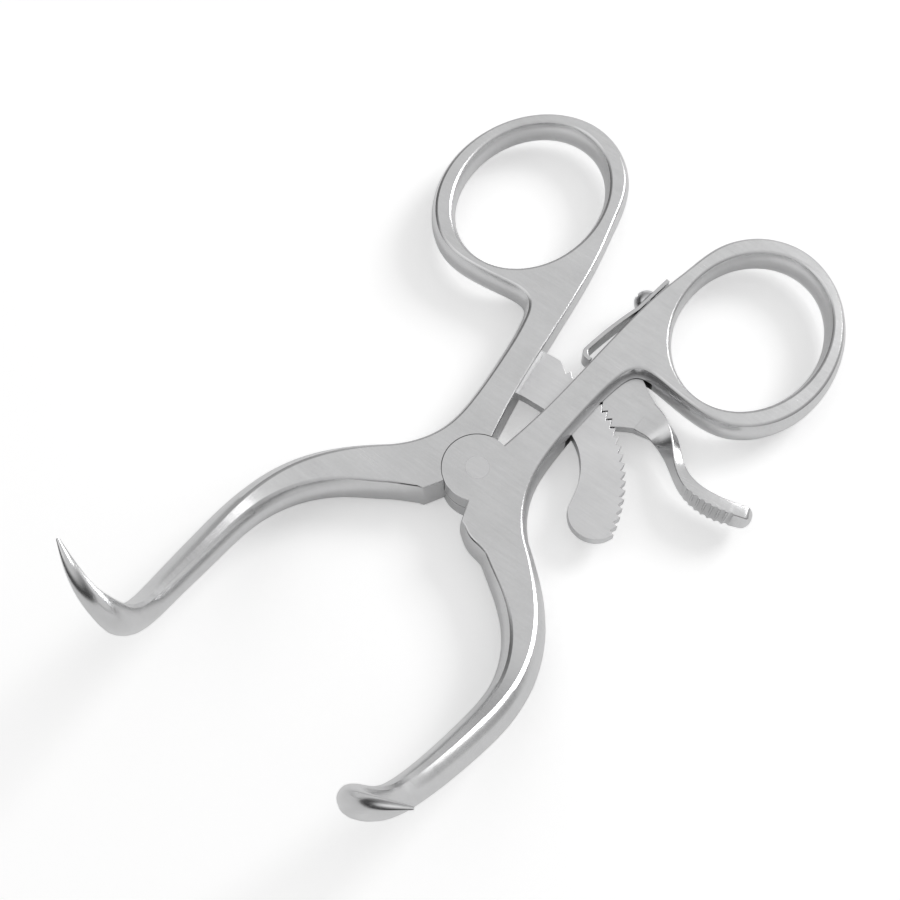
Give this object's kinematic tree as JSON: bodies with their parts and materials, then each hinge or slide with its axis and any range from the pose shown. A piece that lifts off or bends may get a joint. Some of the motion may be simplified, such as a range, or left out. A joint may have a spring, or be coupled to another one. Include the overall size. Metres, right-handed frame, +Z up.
{
  "type": "self retaining retractor",
  "caption": "Small hand-held self retaining retractor: two crossed ring-handled arms with upturned claw blades, a curved ratchet bar and a sprung pawl with a thumb lever.",
  "frame": {"origin": "on the hinge axis, at the flat underside of the box joint", "axes": "+Z up along the hinge axis, +Y towards the finger rings, +X towards the arm that carries the pawl"},
  "size_m": [0.0611, 0.097, 0.0387],
  "materials": {
    "satin_steel": "satin",
    "rivet_steel": "fine satin",
    "spring_steel": "semi polished"
  },
  "bodies": {
    "left_body": {"left_arm": "satin_steel", "joint_rivet": "rivet_steel", "ratchet_bar": "satin_steel", "ratchet_bar_rivets": "rivet_steel"},
    "right_body": {"right_arm": "satin_steel", "pawl_pin": "rivet_steel", "leaf_spring": "spring_steel", "spring_screw": "spring_steel"},
    "pawl_body": {"pawl": "satin_steel"}
  },
  "joints": [
    {"name": "arm_hinge", "type": "hinge", "parent": "left_body", "child": "right_body", "pos_m": [0, 0, 0.0032], "axis": [0, 0, 1], "range_deg": [-33.75, 11.25]},
    {"name": "pawl_hinge", "type": "hinge", "parent": "right_body", "child": "pawl_body", "pos_m": [0.0053, 0.01991, 0.00355], "axis": [0, 0, 1], "range_deg": [0, 9], "stiffness_Nm_per_rad": 0.02, "springref_deg": -17.19}
  ]
}
